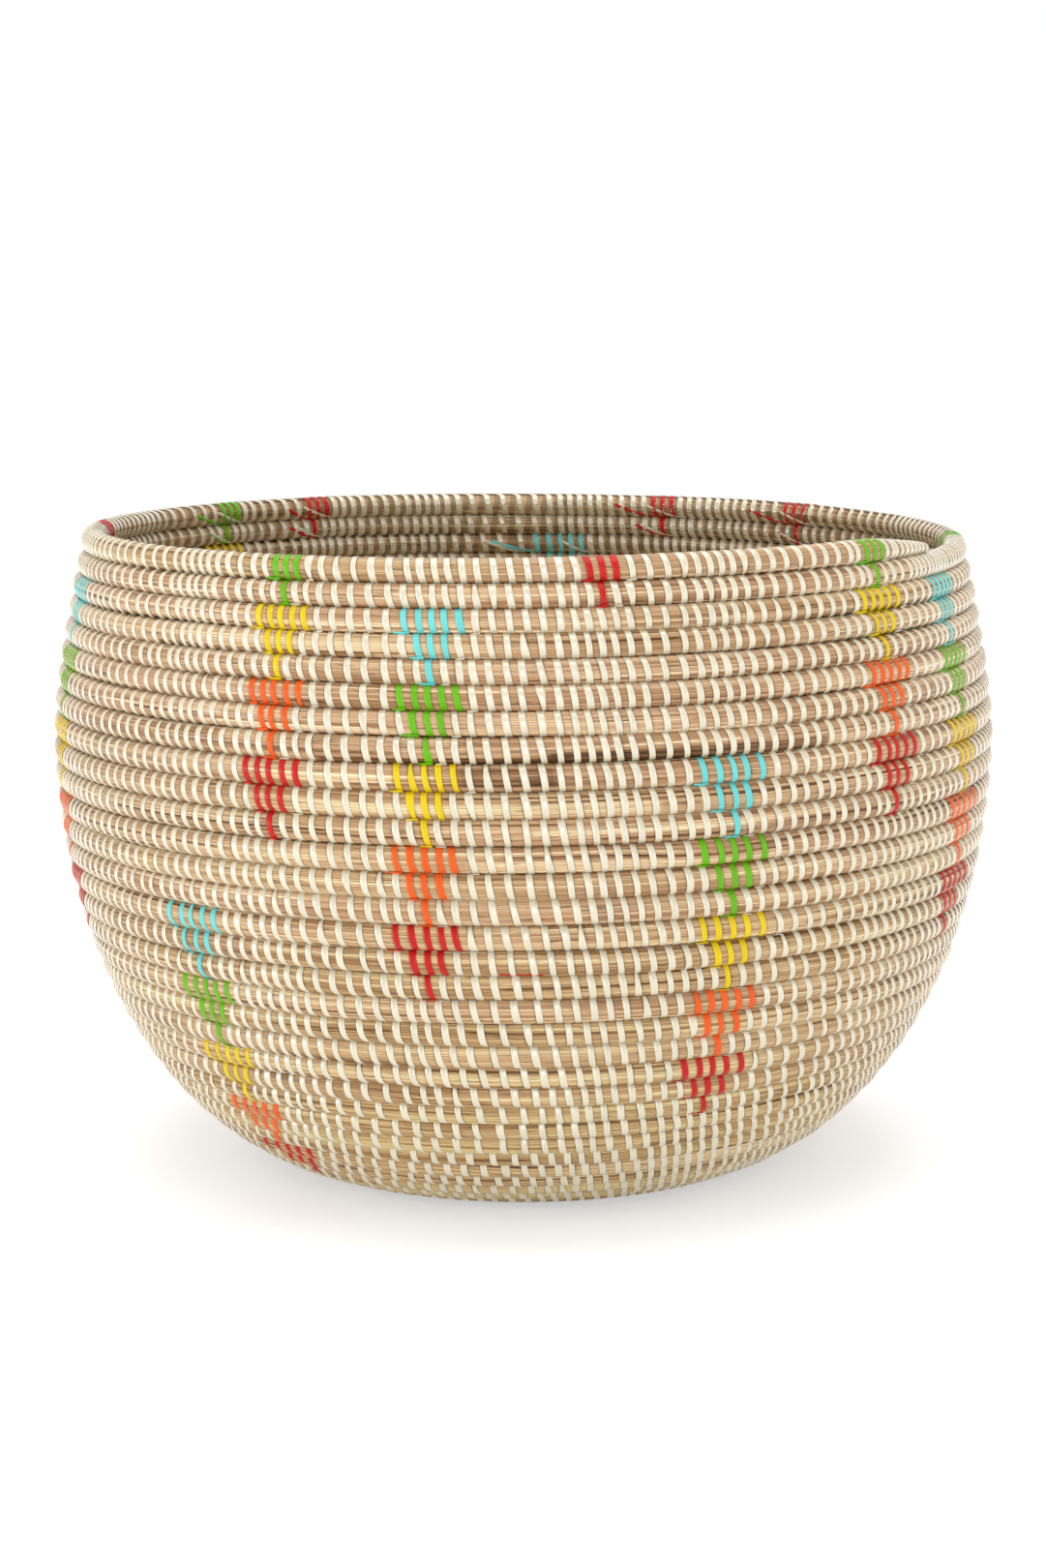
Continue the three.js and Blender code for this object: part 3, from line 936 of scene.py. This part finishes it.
def bindRuns(name, runs, material, nodes):
    across = np.array(strip["acrossPlaces"])
    bulk = np.array(strip["acrossRise"])
    perStitch = len(strip["outsideAngles"]) + len(strip["insideAngles"])
    strands = []
    cells = 0

    # Turn, angle, rise and tone at each point, then each ring's cell on the map, its place there and the
    # length of strip up to it
    def addStrand(*values):
        ring = np.arange(len(values[0]))
        strands.append((ring < len(ring) - 1, *values))

    for chosen in runs:
        turns, angles, widths, tones, creases = ribbonRings(chosen)
        radius = np.interp(turns, coilTurn, coilRadius)
        offset = across[None, :] * (widths / 2 / (2 * math.pi * radius))[:, None]
        ridge = np.where(np.abs(across) < 0.5, np.sign(across), 0)
        crease = ridge[None, :] * (creases - 0.5)[:, None] * strip["crease"]
        segment = np.arange(len(turns))
        addStrand(
            turns[:, None] - offset,
            np.repeat(angles[:, None], len(across), axis=1),
            strip["rise"] * (bulk[None, :] + crease),
            np.repeat(tones[:, None], len(across), axis=1),
            cells + np.minimum(segment // perStitch, len(chosen) - 1),
            segment % perStitch,
            segment * strip["mapStep"] + strip["mapShift"] * tones,
        )
        cells += len(chosen)
    for chosen in runs:
        ends, tone = strayEnds(name, chosen, chosen is runs[0])
        for turns, angles, widths, rises in ends:
            turn = np.clip(turns, 0.0, lastTurn)
            tilt = across[None, :] * (widths / 2 / coilAt(turn)["halfHeight"])[:, None]
            segment = np.arange(len(turns))
            addStrand(
                np.repeat(turn[:, None], len(across), axis=1),
                angles[:, None] + tilt * np.sign(turns[1] - turns[0]),
                rises[:, None] + strip["rise"] * strip["endRise"] * bulk[None, :],
                np.full((len(turns), len(across)), tone),
                np.full(len(turns), cells),
                segment * perStitch / len(turns),
                segment * strip["endMapStep"],
            )
            cells += 1
    joined, turn, angle, rise, tone, cell, cellShare, lengthRun = map(np.concatenate, zip(*strands))
    points = onSurface(turn, angle, rise)
    wide = max(1, math.ceil(math.sqrt(cells * strip["cellShape"])))
    tall = math.ceil(cells / wide)
    step = np.where(joined, np.append(np.diff(lengthRun), 0), 0)
    shareStep = np.append(np.diff(cellShare), 1)
    shareStep = np.where(shareStep <= 0, 1, shareStep)
    endMargin, sideMargin = strip["cellMargins"]
    inCell = np.stack([cellShare, cellShare + shareStep], -1) / perStitch
    bakeAlong = ((cell // wide)[:, None] + endMargin + (1 - 2 * endMargin) * inCell) / tall
    runAlong = np.stack([lengthRun, lengthRun + np.abs(step)], -1)
    acrossMap = np.array(strip["mapAcross"]) / strip["mapAcross"][-1]

    def bakeAcross(picked, over):
        share = acrossMap[over : len(across) + over]
        return ((cell[picked] % wide)[:, None] + sideMargin + (1 - 2 * sideMargin) * share[None, :]) / wide

    def runAcross(picked, over):
        places = acrossMap[over : len(across) + over] * strip["mapWidth"]
        return np.broadcast_to(places[None, :], (len(picked), len(across)))

    maps = {"OFBake": (bakeAlong, bakeAcross), "stripRun": (runAlong, runAcross)}
    thing = ringMesh(name, points, joined, False, maps, {"stitchToneAndShade": tone}, material)
    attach(thing, "root")
    if nodes:
        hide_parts(*nodes)


# Stitches that follow one another to the right in one colour, split where a piece of the coil ends
def stitchRuns(wanted):
    order = np.arange(stitchTotal)[::-1]
    cuts = np.array([start for _, _, start, _ in pieces])
    part = np.searchsorted(cuts, stitches["turn"], side="right") - 1
    runs = []
    current = []
    for index in order:
        fits = wanted[index]
        if current and (not fits or index != current[-1] - 1 or part[index] != part[current[-1]]):
            runs.append((int(part[current[-1]]), current))
            current = []
        if fits:
            current.append(int(index))
    if current:
        runs.append((int(part[current[-1]]), current))
    return runs


def bindCream(material):
    runs = stitchRuns(stitches["colour"] < 0)
    for number, (name, _, _, _) in enumerate(pieces):
        own = [chosen for part, chosen in runs if part == number]
        bindRuns(name + "_cream_strip", own, material, [])
    print("cream strip:", len(pieces), "pieces,", len(runs), "runs of stitches")


def bindTriangles(materials):
    bare = {}
    made = 0
    for place, column in enumerate(columns):
        for index, colourName in enumerate(colourNames):
            wanted = (stitches["owner"] == place) & (stitches["colour"] == index)
            runs = [chosen for _, chosen in stitchRuns(wanted)]
            if not runs:
                continue
            node = column + "_" + colourName + "_strip"
            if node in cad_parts:
                name = column + "_" + colourName + "_triangle"
                bindRuns(name, runs, materials[colourName], [node])
                made += 1
            else:
                bare.setdefault(colourName, []).extend(runs)
    for colourName, runs in bare.items():
        bindRuns("other_" + colourName + "_triangles", runs, materials[colourName], [])
        made += 1
    print("triangles:", made, "pieces")


layGrass(grassMaterial())
stripMaterials = {name: stripMaterial(name) for name in strip["colours"]}
bindCream(stripMaterials["cream"])
bindTriangles(stripMaterials)

studio = {
    "floorSize": 6,
    "floorHeight": -0.0002,
    "floorRoughness": 0.9,
    "floorColour": 1,
    "seenColour": 0.8,  # what the camera sees of it, with a glow that makes it up to white
    "glow": [0.46, 1],
    "glowColour": (0.955, 0.975, 1, 1),
    "glowDistance": [0.3, 0.9],
    "surround": 0.68,
    "lamps": [
        ("key", (-2.3, -0.9, 0.4), 1.0, 0.7, 18),
        ("fill", (2.2, -1.2, 0.4), 1.0, 0.7, 6.5),
        ("overhead", (0.0, -0.1, 2.2), 1.8, 1.8, 28),
        ("front", (0.12, -2.2, 0.56), 0.5, 1.1, 10),
    ],
}


# Whatever looks straight at the surroundings sees white, and the object is lit by a softer grey
def whiteShare(tree):
    seen = addNode(tree, "ShaderNodeLightPath").outputs
    some = maths(tree, "MAXIMUM", seen["Is Camera Ray"], seen["Is Glossy Ray"])
    return maths(tree, "MAXIMUM", some, seen["Is Transmission Ray"])


def makeStudio():
    bpy.ops.mesh.primitive_plane_add(size=studio["floorSize"], location=(0, 0, studio["floorHeight"]))
    floor = bpy.context.object
    floor.name = "floor"
    material, tree, shader = newMaterial("floor")
    seen = whiteShare(tree)
    place = addNode(tree, "ShaderNodeTexCoord").outputs["Object"]
    away = addNode(tree, "ShaderNodeVectorMath", {0: place}, operation="LENGTH").outputs["Value"]
    rising = mapRange(tree, away, *studio["glow"], *studio["glowDistance"], "SMOOTHSTEP")
    surface = {
        "Base Color": mapRange(tree, seen, studio["floorColour"], studio["seenColour"]),
        "Roughness": studio["floorRoughness"],
        "Specular IOR Level": 0,
        "Emission Color": studio["glowColour"],
        "Emission Strength": maths(tree, "MULTIPLY", seen, rising),
    }
    fill(tree, shader, surface)
    floor.data.materials.append(material)
    world = bpy.data.worlds.new("studio")
    bpy.context.scene.world = world
    world.use_nodes = True
    tree = world.node_tree
    strength = mapRange(tree, whiteShare(tree), studio["surround"], 1)
    fill(tree, tree.nodes["Background"], {"Color": (1, 1, 1, 1), "Strength": strength})
    for name, place, width, height, power in studio["lamps"]:
        lamp = bpy.data.lights.new(name, "AREA")
        lamp.shape = "RECTANGLE"
        lamp.size = width
        lamp.size_y = height
        lamp.energy = power
        holder = bpy.data.objects.new(name, lamp)
        bpy.context.scene.collection.objects.link(holder)
        holder.location = place
        aim = Vector((0, 0, 0.15)) - holder.location
        holder.rotation_euler = aim.to_track_quat("-Z", "Y").to_euler()


camera = {
    "place": (-0.0003, -1.5416, 0.4171),
    "tilt": 80.747,  # degrees from straight down
    "roll": -0.22,
    "lens": 80.68,
}


def placeCamera():
    data = bpy.data.cameras.new("camera")
    data.lens = camera["lens"]
    data.sensor_width = 36
    holder = bpy.data.objects.new("camera", data)
    bpy.context.scene.collection.objects.link(holder)
    holder.location = camera["place"]
    tilted = Matrix.Rotation(math.radians(camera["tilt"]), 3, "X")
    rolled = Matrix.Rotation(math.radians(camera["roll"]), 3, "Z")
    holder.rotation_euler = (tilted @ rolled).to_euler()
    bpy.context.scene.camera = holder


makeStudio()
placeCamera()
bpy.context.scene.view_settings.view_transform = "Standard"
print("studio: floor, lamps and camera in place")
